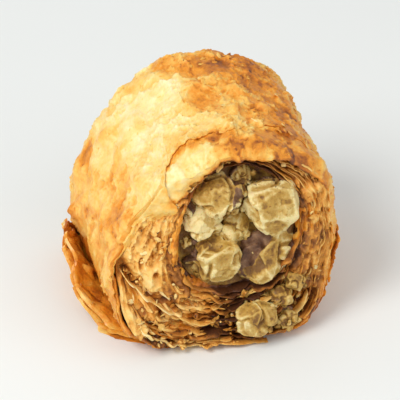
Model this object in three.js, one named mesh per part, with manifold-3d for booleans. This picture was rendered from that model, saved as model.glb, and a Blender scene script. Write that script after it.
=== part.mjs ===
// A piece of rolled baklava: thin pastry wound round chopped walnuts, cut at both ends, baked and soaked
// in syrup. Millimetres, +Z up. The roll lies along Y with its better face towards -Y, and stands on z = 0
// on its own flat foot. Angles in a section run from +X towards +Z, in radians, about the roll's axis.
import * as THREE from "three";
import { ConvexGeometry } from "three/addons/geometries/ConvexGeometry.js";
import { mergeVertices } from "three/addons/utils/BufferGeometryUtils.js";
import Module from "manifold-3d";

const wasm = await Module();
wasm.setup();

// Driving dimensions of the roll.
const WIDTH = 34;
const HEIGHT = 31;
const LENGTH = 28;
const AXIS_HEIGHT = 0.5 * HEIGHT;
const NUT_RADIUS = 0.25 * WIDTH; // the mean radius of the nut filling
const NUT_AXIS = { x: 0.06 * WIDTH, z: 0.555 * HEIGHT }; // off centre, to the right and up
const GAP = 0.3; // between the filling and the pastry round it
const SINK = 0.6; // how much of the rounded underside the flat foot cuts away

// How fine the pastry's surface is.
const TURN_STEPS = 92; // round the roll
const SKIN_STEPS = 12; // along the outermost sheet
const LIP_STEPS = 3; // along what the outermost sheet leaves bare at the front
const FACE_STEPS = 15; // across each cut face
const WINDINGS = 5; // ridges of pastry that show between the filling and the outside

const TAU = 2 * Math.PI;
const radians = THREE.MathUtils.degToRad;
const mix = THREE.MathUtils.lerp;

// The section of the roll is a rounded polygon. Each flat faces a direction, at a distance from the axis.
const ROUNDNESS = 12;
const FLATS = [
  { faces: radians(0), reach: 0.5 * WIDTH },
  { faces: radians(48), reach: 0.555 * HEIGHT },
  { faces: radians(82), reach: 0.507 * HEIGHT },
  { faces: radians(122), reach: 0.45 * HEIGHT },
  { faces: radians(157), reach: 0.395 * WIDTH },
  { faces: radians(192), reach: 0.5 * WIDTH },
  { faces: radians(234), reach: 0.555 * WIDTH },
  { faces: radians(270), reach: AXIS_HEIGHT + SINK },
  { faces: radians(318), reach: 0.56 * WIDTH },
];

// A smooth value round the roll that passes through four given ones.
function around({ right, top, left, under }) {
  const mean = (right + top + left + under) / 4;
  const across = (right - left) / 2;
  const upward = (top - under) / 2;
  const oval = (right + left - top - under) / 4;
  return (turn) => mean + across * Math.cos(turn) + upward * Math.sin(turn) + oval * Math.cos(2 * turn);
}

// Where the sheets end, and where they meet the filling, measured from the roll's middle. The sheets
// underneath are splayed forwards by the weight, all across the foot, and the others are drawn back.
const HALF = LENGTH / 2;
const SPLAY = -HALF - 2.9;
const SPLAY_LEAN = radians(8); // towards the left
const drawnBack = around({ right: -HALF + 1.4, top: -HALF + 1, left: -HALF + 2.2, under: -HALF });
function frontEdge(turn) {
  const splayed = THREE.MathUtils.smoothstep(-Math.sin(turn + SPLAY_LEAN), 0.3, 0.8);
  return mix(drawnBack(turn), SPLAY, splayed);
}
const frontRim = around({ right: -HALF - 0.2, top: -HALF + 2.2, left: -HALF - 0.6, under: -HALF - 1.6 });
const backEdge = around({ right: HALF - 0.8, top: HALF - 0.6, left: HALF - 1.0, under: HALF + 1.4 });
const backRim = around({ right: HALF + 0.3, top: HALF - 0.2, left: HALF + 0.2, under: HALF + 0.6 });

// The depth of the ridges that the sheets make on a cut face.
const ridgeDepth = around({ right: 0.7, top: 0.5, left: 1.0, under: 1.6 });

// A repeatable random number generator, one for each use.
function seeded(seed) {
  let state = seed >>> 0;
  return () => {
    state = (Math.imul(state, 1664525) + 1013904223) >>> 0;
    return state / 4294967296;
  };
}

function outerReach(turn) {
  let sum = 0;
  for (const { faces, reach } of FLATS) {
    sum += Math.max(0, Math.cos(turn - faces) / reach) ** ROUNDNESS;
  }
  return sum ** (-1 / ROUNDNESS);
}

// The nut filling's section is a soft, lumpy round.
function nutReach(turn) {
  return NUT_RADIUS * (1 + 0.05 * Math.cos(2 * turn - 1.2) + 0.035 * Math.cos(3 * turn + 0.6));
}

// Blisters, creases and sags of the outermost sheets.
function skinRelief(turn, y) {
  const blisters = 0.28 * Math.sin(5 * turn + 0.35 * y) * Math.sin(0.42 * y + 3 * turn + 1.1);
  const creases = 0.2 * Math.sin(11 * turn - 0.18 * y + 2 * Math.sin(0.3 * y));
  const waist = -0.3 * Math.cos((Math.PI * y) / HALF);
  return blisters + creases + waist;
}

// The outermost sheet has torn away towards the front, most of all on the upper right, and its edge is a
// step in the skin.
const TORN_SHEET = 0.7;
const TORN_AT = radians(60);
const TORN_BACK = [1, 5.8]; // how far the tear is behind the front edge
function tornEdge(turn) {
  const torn = THREE.MathUtils.smoothstep(Math.cos(turn - TORN_AT), 0.26, 0.82);
  return frontEdge(turn) + mix(...TORN_BACK, torn) + 0.4 * Math.sin(7 * turn);
}

function skinPoint(turn, y, sunk) {
  const reach = outerReach(turn) + skinRelief(turn, y) - sunk;
  return new THREE.Vector3(reach * Math.cos(turn), y, AXIS_HEIGHT + reach * Math.sin(turn));
}

function borePoint(turn, y) {
  const reach = nutReach(turn) + GAP;
  return new THREE.Vector3(NUT_AXIS.x + reach * Math.cos(turn), y, NUT_AXIS.z + reach * Math.sin(turn));
}

// One point of the wound sheets on a cut face: out is 0 at the filling and 1 at the skin. The phase
// follows the turn, so that the ridges are one spiral. Hand is 1 at the front and -1 at the back.
function facePoint(turn, out, edge, rim, hand) {
  const sunk = EDGE_ROUNDING + (hand > 0 ? TORN_SHEET : 0);
  const point = borePoint(turn, rim(turn)).lerp(skinPoint(turn, edge(turn), sunk), out);
  const bevel = out ** 1.7;
  const phase = TAU * (WINDINGS * out - (hand * turn) / TAU);
  const wave = 0.5 - 0.5 * Math.cos(phase + 0.7 * Math.sin(4 * turn));
  const fade = Math.sin(Math.PI * Math.min(1, out * 1.08)) ** 0.5;
  point.y = mix(rim(turn), edge(turn), bevel) + hand * ridgeDepth(turn) * wave * fade;
  return point;
}

function solid(geometry) {
  const bare = geometry.clone();
  bare.deleteAttribute("normal");
  bare.deleteAttribute("uv");
  const merged = mergeVertices(bare, 1e-4);
  return new wasm.Manifold(new wasm.Mesh({
    numProp: 3,
    vertProperties: new Float32Array(merged.attributes.position.array),
    triVerts: new Uint32Array(merged.index.array),
  }));
}

function solidOf(points, index) {
  const positions = new THREE.Float32BufferAttribute(points.flatMap((point) => point.toArray()), 3);
  return solid(new THREE.BufferGeometry().setAttribute("position", positions).setIndex(index));
}

function geometryOf(manifold) {
  const { vertProperties, triVerts } = manifold.getMesh();
  const geometry = new THREE.BufferGeometry()
    .setAttribute("position", new THREE.BufferAttribute(vertProperties, 3))
    .setIndex(new THREE.BufferAttribute(triVerts, 1));
  geometry.computeVertexNormals();
  return geometry;
}

// A closed surface from a grid of points that joins up with itself both ways.
function ringSolid(rows) {
  const across = rows[0].length;
  const index = [];
  rows.forEach((row, i) => {
    const next = ((i + 1) % rows.length) * across;
    for (let j = 0; j < across; j++) {
      const k = (j + 1) % across;
      index.push(i * across + j, next + j, i * across + k);
      index.push(next + j, next + k, i * across + k);
    }
  });
  return solidOf(rows.flat(), index);
}

// The wound pastry: each row runs from the back along the outside, over the torn edge of the outermost
// sheet, across the front face, through the bore and across the back face.
const EDGE_ROUNDING = 0.8;
function woundPastry() {
  const rows = [];
  for (let i = 0; i < TURN_STEPS; i++) {
    const turn = (TAU * i) / TURN_STEPS;
    const row = [];
    for (let j = 0; j <= SKIN_STEPS; j++) {
      const along = j / SKIN_STEPS;
      const sunk = EDGE_ROUNDING * (1 - along) ** 8;
      row.push(skinPoint(turn, mix(backEdge(turn), tornEdge(turn), along), sunk));
    }
    for (let j = 0; j <= LIP_STEPS; j++) {
      const along = j / LIP_STEPS;
      const sunk = TORN_SHEET + EDGE_ROUNDING * along ** 3;
      row.push(skinPoint(turn, mix(tornEdge(turn) - 0.3, frontEdge(turn), along), sunk));
    }
    for (let j = FACE_STEPS - 1; j >= 0; j--) {
      row.push(facePoint(turn, j / FACE_STEPS, frontEdge, frontRim, 1));
    }
    row.push(borePoint(turn, 0));
    for (let j = 0; j < FACE_STEPS; j++) {
      row.push(facePoint(turn, j / FACE_STEPS, backEdge, backRim, -1));
    }
    rows.push(row);
  }
  return ringSolid(rows);
}

// The loose end of the outermost sheets: it leaves the underside on the left and peels away from the
// roll, up to a free edge that rises towards the back.
const TAIL = {
  front: -HALF + 1.5,
  back: 0.86 * HALF,
  root: radians(254),
  lowEdge: radians(226),
  highEdge: radians(185),
  embedded: 1.6,
  peel: 3.9,
  thickness: 3,
};
function looseTail() {
  const curlSteps = 10;
  const spanSteps = 16;
  const points = [];
  for (const side of [1, -1]) {
    for (let i = 0; i <= spanSteps; i++) {
      const along = i / spanSteps;
      const y = mix(TAIL.front, TAIL.back, along);
      const fullness = Math.sin(Math.PI * mix(0.12, 0.9, along)) ** 0.6;
      const freeEdge = mix(TAIL.root, mix(TAIL.lowEdge, TAIL.highEdge, along), fullness);
      const peel = TAIL.peel * Math.sin(Math.PI * mix(0.36, 0.98, along)) ** 1.4;
      for (let j = 0; j <= curlSteps; j++) {
        const curl = j / curlSteps;
        const turn = mix(TAIL.root, freeEdge, curl);
        const waves = 0.35 * Math.sin(1.1 * y + 5 * curl) * curl;
        const stand = mix(-TAIL.embedded, peel, curl ** 1.2);
        const half = (side * TAIL.thickness * (1 - 0.4 * curl ** 2)) / 2;
        points.push(skinPoint(turn, y, -stand - waves - half));
      }
    }
  }
  const across = curlSteps + 1;
  const layer = across * (spanSteps + 1);
  const index = [];
  const quad = (a, b, c, d) => index.push(a, c, b, a, d, c);
  for (let i = 0; i < spanSteps; i++) {
    for (let j = 0; j < curlSteps; j++) {
      const a = i * across + j;
      quad(a, a + across, a + across + 1, a + 1);
      quad(layer + a, layer + a + 1, layer + a + across + 1, layer + a + across);
    }
    const root = i * across;
    const free = root + curlSteps;
    quad(root, layer + root, layer + root + across, root + across);
    quad(free, free + across, layer + free + across, layer + free);
  }
  for (let j = 0; j < curlSteps; j++) {
    const far = spanSteps * across + j;
    quad(j, j + 1, layer + j + 1, layer + j);
    quad(far, layer + far, layer + far + 1, far + 1);
  }
  return solidOf(points, index);
}

// A broken piece of walnut: the hull of random points on a squashed ball, broken off flat on a few
// sides. The first of these sides may be told where to face.
const NUT_CORNERS = 18;
const BREAKS = 4;
const BREAK_DEPTHS = [0.5, 0.78]; // how far out the breaks are, as shares of half the nut's size
function anyDirection(random) {
  const height = 2 * random() - 1;
  const turn = TAU * random();
  const ring = Math.sqrt(1 - height * height);
  return new THREE.Vector3(ring * Math.cos(turn), ring * Math.sin(turn), height);
}
function nutPiece({ x, y, z, size, squash = [1, 0.8, 0.7], lean = 0, shows, seed }) {
  const random = seeded(seed);
  const points = [];
  for (let i = 0; i < NUT_CORNERS; i++) {
    const height = 1 - (2 * (i + 0.5)) / NUT_CORNERS;
    const turn = TAU * (i * 0.618 + 0.1 * random());
    const ring = Math.sqrt(1 - height * height);
    const reach = (size / 2) * (0.86 + 0.28 * random());
    points.push(new THREE.Vector3(ring * Math.cos(turn), ring * Math.sin(turn), height)
      .multiplyScalar(reach)
      .multiply(new THREE.Vector3(...squash)));
  }
  const rotation = new THREE.Euler(random(), radians(lean), random());
  points.forEach((point) => point.applyEuler(rotation));
  const breaks = Array.from({ length: BREAKS }, () => anyDirection(random));
  if (shows) breaks[0].set(...shows).normalize();
  for (const towards of breaks) {
    const limit = (size / 2) * mix(...BREAK_DEPTHS, random());
    points.forEach((point) => point.addScaledVector(towards, -Math.max(0, point.dot(towards) - limit)));
  }
  return solid(new ConvexGeometry(points).translate(x, y, z));
}

// The broken walnuts at the front, the four largest first. Places are from the filling's axis and the front
// face.
const FRONT_NUTS = [
  { x: 4.8, y: 2.6, z: 2.8, size: 11.4, squash: [0.95, 0.85, 1], lean: 30, shows: [0.1, -1, 0.35], seed: 3 },
  { x: -1.4, y: 3, z: 4.8, size: 9.6, squash: [1, 0.9, 0.8], lean: -15, shows: [-0.3, -1, 0.5], seed: 11 },
  { x: -3.8, y: 1.2, z: -3.8, size: 10.8, squash: [0.85, 0.85, 1], lean: 20, shows: [0, -1, 0.1], seed: 5 },
  { x: 4.4, y: 1.8, z: -4.6, size: 10.6, squash: [1, 0.8, 0.8], lean: -25, shows: [0.3, -1, 0.3], seed: 8 },
  { x: -4.8, y: 2.2, z: 1.2, size: 7.6, lean: 10, seed: 21 },
  { x: 0.4, y: 2.8, z: -0.6, size: 6.4, lean: 55, seed: 27 },
  { x: -6.4, y: 3.4, z: 3.4, size: 4.8, lean: 70, seed: 13 },
  { x: 7.2, y: 3.4, z: -1.4, size: 5, lean: -40, seed: 17 },
  { x: 1.6, y: 4, z: 6.8, size: 4.6, lean: 5, seed: 19 },
  { x: 0.4, y: 2.6, z: -7, size: 4.8, lean: 30, seed: 23 },
];
const BACK_NUTS = 11;
const BACK_NUT_SIZES = [4.8, 8];

// The solid heart of the filling, set back a little from both cut faces.
function fillingCore() {
  const start = -HALF + 3;
  const end = HALF - 1.4;
  const turnSteps = 36;
  const alongSteps = 8;
  const points = [];
  for (let i = 0; i <= alongSteps; i++) {
    const y = mix(start, end, i / alongSteps);
    for (let j = 0; j < turnSteps; j++) {
      const turn = (TAU * j) / turnSteps;
      const reach = nutReach(turn) - 0.25 * (1 + Math.sin(3 * turn + 0.9 * y));
      const [x, z] = [NUT_AXIS.x + reach * Math.cos(turn), NUT_AXIS.z + reach * Math.sin(turn)];
      points.push(new THREE.Vector3(x, y, z));
    }
  }
  const frontMiddle = points.push(new THREE.Vector3(NUT_AXIS.x, start + 0.6, NUT_AXIS.z)) - 1;
  const backMiddle = points.push(new THREE.Vector3(NUT_AXIS.x, end - 0.6, NUT_AXIS.z)) - 1;
  const last = alongSteps * turnSteps;
  const index = [];
  for (let j = 0; j < turnSteps; j++) {
    const k = (j + 1) % turnSteps;
    for (let i = 0; i < alongSteps; i++) {
      const [here, next] = [i * turnSteps, (i + 1) * turnSteps];
      index.push(here + j, next + j, here + k, here + k, next + j, next + k);
    }
    index.push(frontMiddle, j, k, backMiddle, last + k, last + j);
  }
  return solidOf(points, index);
}

// The room that the filling may take: the bore less the gap, open past both faces.
function fillingSpace() {
  const steps = 72;
  const outline = Array.from({ length: steps }, (_, i) => {
    const turn = (TAU * i) / steps;
    const reach = nutReach(turn) - 0.02;
    return new THREE.Vector2(NUT_AXIS.x + reach * Math.cos(turn), -(NUT_AXIS.z + reach * Math.sin(turn)));
  });
  const straight = { depth: 2 * LENGTH, bevelEnabled: false };
  const geometry = new THREE.ExtrudeGeometry(new THREE.Shape(outline), straight);
  geometry.translate(0, 0, -LENGTH);
  geometry.rotateX(-Math.PI / 2);
  return solid(geometry);
}

function nutFilling() {
  const front = FRONT_NUTS.map((nut) => nutPiece({
    ...nut,
    x: NUT_AXIS.x + nut.x,
    y: -HALF + nut.y,
    z: NUT_AXIS.z + nut.z,
  }));
  const random = seeded(42);
  const back = Array.from({ length: BACK_NUTS }, (_, i) => {
    const ring = NUT_RADIUS * 0.78 * Math.sqrt((i + 0.3) / BACK_NUTS);
    const turn = TAU * 0.618 * i;
    return nutPiece({
      x: NUT_AXIS.x + ring * Math.cos(turn),
      y: HALF - 1.4 - random(),
      z: NUT_AXIS.z + ring * Math.sin(turn),
      size: mix(...BACK_NUT_SIZES, random()),
      lean: 180 * random(),
      seed: 100 + i,
    });
  });
  return wasm.Manifold.union([fillingCore(), ...front, ...back]).intersect(fillingSpace());
}

// Crumbs of walnut that have dropped from the filling and stuck to the splayed sheets below it.
const CRUMBS = [
  { x: 4.2, y: -16.9, z: 4.6, size: 7.4, squash: [1, 0.7, 0.9], lean: 12, shows: [-0.3, -1, 0.7], seed: 31 },
  { x: 7.4, y: -16, z: 6.8, size: 4.6, squash: [1, 0.8, 0.75], lean: -20, seed: 33 },
  { x: 10.2, y: -14.9, z: 8.6, size: 4, squash: [1, 0.8, 0.7], lean: 30, seed: 35 },
  { x: 8.6, y: -16.2, z: 3, size: 4.2, squash: [1, 0.8, 0.8], lean: 5, seed: 37 },
];

function pastryRoll() {
  const below = new THREE.BoxGeometry(4 * WIDTH, 4 * LENGTH, HEIGHT).translate(0, 0, -HEIGHT / 2);
  return wasm.Manifold.union([woundPastry(), looseTail(), ...CRUMBS.map(nutPiece)]).subtract(solid(below));
}

function finish(name, color, roughness) {
  return new THREE.MeshStandardMaterial({ name, color, roughness, metalness: 0 });
}

function mesh(name, manifold, material) {
  const made = new THREE.Mesh(geometryOf(manifold), material);
  made.name = name;
  return made;
}

const piece = new THREE.Group();
piece.add(mesh("pastry_roll", pastryRoll(), finish("pastry", 0xe0a552, 0.45)));
piece.add(mesh("walnut_filling", nutFilling(), finish("walnut", 0xc9a66a, 0.55)));

// The part's origin is the middle of its footprint, on the surface that it stands on.
const extent = new THREE.Box3().setFromObject(piece, true);
const middle = extent.getCenter(new THREE.Vector3());
piece.position.set(-middle.x, -middle.y, 0);
export default piece;
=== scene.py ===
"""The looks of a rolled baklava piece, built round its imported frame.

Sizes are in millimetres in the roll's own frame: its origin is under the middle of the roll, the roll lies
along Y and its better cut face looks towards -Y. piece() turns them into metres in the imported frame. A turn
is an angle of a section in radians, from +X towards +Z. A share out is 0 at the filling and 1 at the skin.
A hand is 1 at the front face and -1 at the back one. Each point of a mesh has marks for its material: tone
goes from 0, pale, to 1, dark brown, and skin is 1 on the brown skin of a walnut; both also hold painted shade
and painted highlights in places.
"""
import math

import bmesh
import bpy
import numpy as np
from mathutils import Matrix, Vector


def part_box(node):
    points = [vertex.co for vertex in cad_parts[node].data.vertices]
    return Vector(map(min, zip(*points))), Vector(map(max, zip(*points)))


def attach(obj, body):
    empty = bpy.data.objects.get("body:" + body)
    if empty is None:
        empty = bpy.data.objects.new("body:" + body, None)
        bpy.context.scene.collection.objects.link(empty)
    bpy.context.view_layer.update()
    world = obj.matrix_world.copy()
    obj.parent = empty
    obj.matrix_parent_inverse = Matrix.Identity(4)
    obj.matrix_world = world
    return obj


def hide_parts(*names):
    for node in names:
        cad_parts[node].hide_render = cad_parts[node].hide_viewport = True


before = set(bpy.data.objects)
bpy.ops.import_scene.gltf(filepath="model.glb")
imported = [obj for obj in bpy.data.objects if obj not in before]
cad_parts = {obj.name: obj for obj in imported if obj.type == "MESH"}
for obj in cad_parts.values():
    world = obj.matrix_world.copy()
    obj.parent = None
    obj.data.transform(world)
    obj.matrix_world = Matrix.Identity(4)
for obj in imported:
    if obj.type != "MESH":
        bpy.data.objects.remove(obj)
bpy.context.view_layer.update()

TAU = 2 * math.pi
MM = 0.001

# ---- The roll's form, as the solids have it ----

WIDTH = 34.0
HEIGHT = 31.0
HALF = 14.0  # half the length
AXIS_HEIGHT = 0.5 * HEIGHT
NUT_RADIUS = 0.25 * WIDTH
NUT_AXIS = (0.06 * WIDTH, 0.555 * HEIGHT)
NUT_GAP = 0.3
SINK = 0.6  # how far the round underside would go below the floor
WINDINGS = 5
ROUNDNESS = 12  # the higher, the sharper the section's corners
EDGE_ROUNDING = 0.8
TORN_SHEET = 0.7  # how far the layers lie below the torn sheet
TORN_AT = math.radians(60)
TORN_BACK = (1, 5.8)  # least and most that the torn sheet ends behind the cut face
SPLAY = -HALF - 2.9  # how far the cut face's foot comes forward
SPLAY_LEAN = math.radians(8)
BACK_SPLAY = 1.4

# Which way each flat side of the section faces, in degrees, and how far out it is.
FLATS = (
    (0, 0.5 * WIDTH),
    (48, 0.555 * HEIGHT),
    (82, 0.507 * HEIGHT),
    (122, 0.45 * HEIGHT),
    (157, 0.395 * WIDTH),
    (192, 0.5 * WIDTH),
    (234, 0.555 * WIDTH),
    (270, AXIS_HEIGHT + SINK),
    (318, 0.56 * WIDTH),
)


def smoothstep(x, low, high):
    t = np.clip((x - low) / (high - low), 0, 1)
    return t * t * (3 - 2 * t)


def around(right, top, left, under):
    """A smooth value round the roll that passes through four given ones."""
    mean = (right + top + left + under) / 4
    across = (right - left) / 2
    upward = (top - under) / 2
    oval = (right + left - top - under) / 4
    return lambda turn: mean + across * np.cos(turn) + upward * np.sin(turn) + oval * np.cos(2 * turn)


drawn_back = around(-HALF + 1.4, -HALF + 1, -HALF + 2.2, -HALF)
front_rim = around(-HALF - 0.2, -HALF + 2.2, -HALF - 0.6, -HALF - 1.6)
back_edge = around(HALF - 0.8, HALF - 0.6, HALF - 1.0, HALF + BACK_SPLAY)
back_rim = around(HALF + 0.3, HALF - 0.2, HALF + 0.2, HALF + 0.6)
ridge_depth = around(0.7, 0.5, 1.0, 1.6)


def front_edge(turn):
    splayed = smoothstep(-np.sin(turn + SPLAY_LEAN), 0.3, 0.8)
    return drawn_back(turn) * (1 - splayed) + SPLAY * splayed


def torn_edge(turn):
    torn = smoothstep(np.cos(turn - TORN_AT), 0.26, 0.82)
    return front_edge(turn) + TORN_BACK[0] + (TORN_BACK[1] - TORN_BACK[0]) * torn + 0.4 * np.sin(7 * turn)


def outer_reach(turn):
    total = sum(np.maximum(0, np.cos(turn - math.radians(at)) / reach) ** ROUNDNESS for at, reach in FLATS)
    return total ** (-1 / ROUNDNESS)


def nut_reach(turn):
    return NUT_RADIUS * (1 + 0.05 * np.cos(2 * turn - 1.2) + 0.035 * np.cos(3 * turn + 0.6))


def skin_relief(turn, y):
    blisters = 0.28 * np.sin(5 * turn + 0.35 * y) * np.sin(0.42 * y + 3 * turn + 1.1)
    creases = 0.2 * np.sin(11 * turn - 0.18 * y + 2 * np.sin(0.3 * y))
    return blisters + creases - 0.3 * np.cos(math.pi * y / HALF)


def skin_reach(turn, y):
    return outer_reach(turn) + skin_relief(turn, y)


def section(turn, out, reach):
    """X and Z at a share out of the way from the filling to a skin of that reach."""
    bore = nut_reach(turn) + NUT_GAP
    bore_x = NUT_AXIS[0] + bore * np.cos(turn)
    bore_z = NUT_AXIS[1] + bore * np.sin(turn)
    return (
        bore_x + (reach * np.cos(turn) - bore_x) * out,
        bore_z + (AXIS_HEIGHT + reach * np.sin(turn) - bore_z) * out,
    )


def face_y(turn, out, hand, grooves=1):
    """How far along the roll a cut face lies, level within the filling's edge."""
    out = np.maximum(0, out)
    edge, rim = (front_edge, front_rim) if hand > 0 else (back_edge, back_rim)
    phase = TAU * WINDINGS * out - hand * turn
    wave = 0.5 - 0.5 * np.cos(phase + 0.7 * np.sin(4 * turn))
    fade = np.sin(math.pi * np.minimum(1, out * 1.08)) ** 0.5
    return rim(turn) + (edge(turn) - rim(turn)) * out**1.7 + hand * grooves * ridge_depth(turn) * wave * fade


def roll_middle():
    """Where the roll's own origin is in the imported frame."""
    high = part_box("pastry_roll")[1] / MM
    turn, y = np.meshgrid(np.linspace(-0.8, 0.8, 81), np.linspace(-HALF + 4, HALF - 2, 81))
    right = (skin_reach(turn, y) * np.cos(turn)).max()
    return np.array([high.x - right, high.y - (HALF + BACK_SPLAY), 0.0])


MIDDLE = roll_middle()

# ---- Repeatable noise, and what fades round the roll ----


def lattice(place, seed):
    """A value from -1 to 1 for each (x, y, z) place of a grid of whole numbers."""
    mixed = np.uint32((seed * 3266489917 + 1442695041) % 2**32)
    for along, factor in zip(place, (374761393, 668265263, 2246822519)):
        mixed = mixed + along.astype(np.uint32) * np.uint32(factor)
    for shift, factor in ((15, 2146121005), (13, 2221713035), (16, 1)):
        mixed ^= mixed >> np.uint32(shift)
        mixed *= np.uint32(factor)
    return mixed.astype(np.float64) / 2147483647.5 - 1


def noise(points, size, seed):
    """Smooth noise from -1 to 1, with lumps about size across."""
    scaled = np.asarray(points) / size
    cell = np.floor(scaled).astype(np.int64)
    part = scaled - cell
    part = part * part * part * (part * (part * 6 - 15) + 10)
    total = 0
    for corner in np.ndindex(2, 2, 2):
        weight = 1
        for axis, far in enumerate(corner):
            weight = weight * (part[..., axis] if far else 1 - part[..., axis])
        total = total + weight * lattice([cell[..., axis] + far for axis, far in enumerate(corner)], seed)
    return total


def noises(points, seed, *layers):
    """A sum of noises, each of a (strength, size), with seeds that follow on."""
    return sum(strength * noise(points, size, seed + i) for i, (strength, size) in enumerate(layers))


def rough(points, size, seed, octaves=4):
    """Noise with ever finer lumps on its lumps, from -1 to 1."""
    total = noises(points, seed, *((0.5**i, size / 2**i) for i in range(octaves)))
    return total / (2 - 0.5 ** (octaves - 1))


def xyz(x, y, z):
    return np.stack(np.broadcast_arrays(x, y, z), -1)


def wrapped(angle):
    return (angle + math.pi) % TAU - math.pi


def lobe(turn, at, width):
    """1 in the direction at, fading to nothing over width, both in degrees."""
    return np.exp(-((wrapped(turn - math.radians(at)) / math.radians(width)) ** 2))


def lobes(turn, *terms):
    """A sum of lobes, each of a (strength, at, width)."""
    return sum(strength * lobe(turn, at, width) for strength, at, width in terms)


def window(degrees, start, full, last, end):
    """1 from full to last, fading to nothing at start and end."""
    return smoothstep(degrees, start, full) * (1 - smoothstep(degrees, last, end))


def between(turn, *limits):
    return window(np.degrees(turn) % 360, *limits)


def at_least(value, least, softness):
    """The value, bent off smoothly where it would fall below the least."""
    return least + softness * np.logaddexp(0, (value - least) / softness)


def soft_floor(z):
    """Keeps what would sink below the foot just above it."""
    return at_least(z, 0.04, 0.22)


def underneath(turn):
    return np.clip(-np.sin(turn), 0, 1)


def packed(turn):
    """How firmly the wound sheets have baked together: most at the left and the right."""
    return np.maximum(lobe(turn, 175, 52), 0.85 * lobe(turn, 358, 36))


def frayed(turn):
    """How much of the sheets is torn away at the lower left."""
    return lobe(turn, 230, 24)


# ---- Making meshes ----


def grid_faces(rows, across, wrap_rows=False, wrap_across=False):
    i = np.arange(rows if wrap_rows else rows - 1)[:, None]
    j = np.arange(across if wrap_across else across - 1)[None, :]
    here, there = i * across, (i + 1) % rows * across
    k = (j + 1) % across
    return np.stack([here + j, there + j, there + k, here + k], -1).reshape(-1, 4)


def thin_solid(upper, lower, tone):
    """A closed sheet from the two grids of points of its sides."""
    rows, across = upper.shape[:2]
    loop = np.concatenate([upper, lower[:, ::-1]], 1)
    faces = [grid_faces(rows, 2 * across, wrap_across=True)]
    j = np.arange(across - 1)
    cap = np.stack([j, j + 1, 2 * across - 2 - j, 2 * across - 1 - j], -1)
    faces += [cap, cap[:, ::-1] + (rows - 1) * 2 * across]
    tones = np.concatenate([tone, tone[:, ::-1]], 1)
    return loop.reshape(-1, 3), np.concatenate(faces), {"tone": tones.ravel()}


def closed_band(turn, rows):
    """A solid ring from rows of (y, (x, z), tone) that follow its section round."""
    points = np.stack([xyz(x, y, soft_floor(z)) for y, (x, z), _ in rows], 1)
    tone = np.stack([np.broadcast_to(row[2], turn.shape) for row in rows], 1)
    faces = grid_faces(len(turn), len(rows), wrap_rows=True, wrap_across=True)
    return points.reshape(-1, 3), faces, {"tone": tone.ravel()}


def link_new(name, data):
    made = bpy.data.objects.new(name, data)
    bpy.context.scene.collection.objects.link(made)
    return made


def piece(name, parts, material, slot, stands_for, crisp=55):
    """A piece of the object from (points, faces, marks) parts, riding on the roll."""
    faces, before = [], 0
    for part_points, part_faces, _ in parts:
        faces += (part_faces + before).tolist()
        before += len(part_points)
    points = np.concatenate([part[0] for part in parts])
    mesh = bpy.data.meshes.new(name)
    mesh.from_pydata(((points + MIDDLE) * MM).tolist(), [], faces)
    for mark in parts[0][2]:
        values = np.concatenate([part[2][mark] for part in parts])
        mesh.attributes.new(mark, "FLOAT", "POINT").data.foreach_set("value", values.astype(np.float32))
    mesh.shade_smooth()
    mesh.set_sharp_from_angle(angle=math.radians(crisp))
    mesh.materials.append(material)
    made = link_new(name, mesh)
    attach(made, "root")
    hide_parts(stands_for)


# ---- Materials ----


def linear(red, green, blue):
    """The colour that shows as these 0 to 255 screen values under full light."""
    channels = (c / 255 for c in (red, green, blue))
    return tuple(c / 12.92 if c <= 0.04045 else ((c + 0.055) / 1.055) ** 2.4 for c in channels) + (1.0,)


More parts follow.
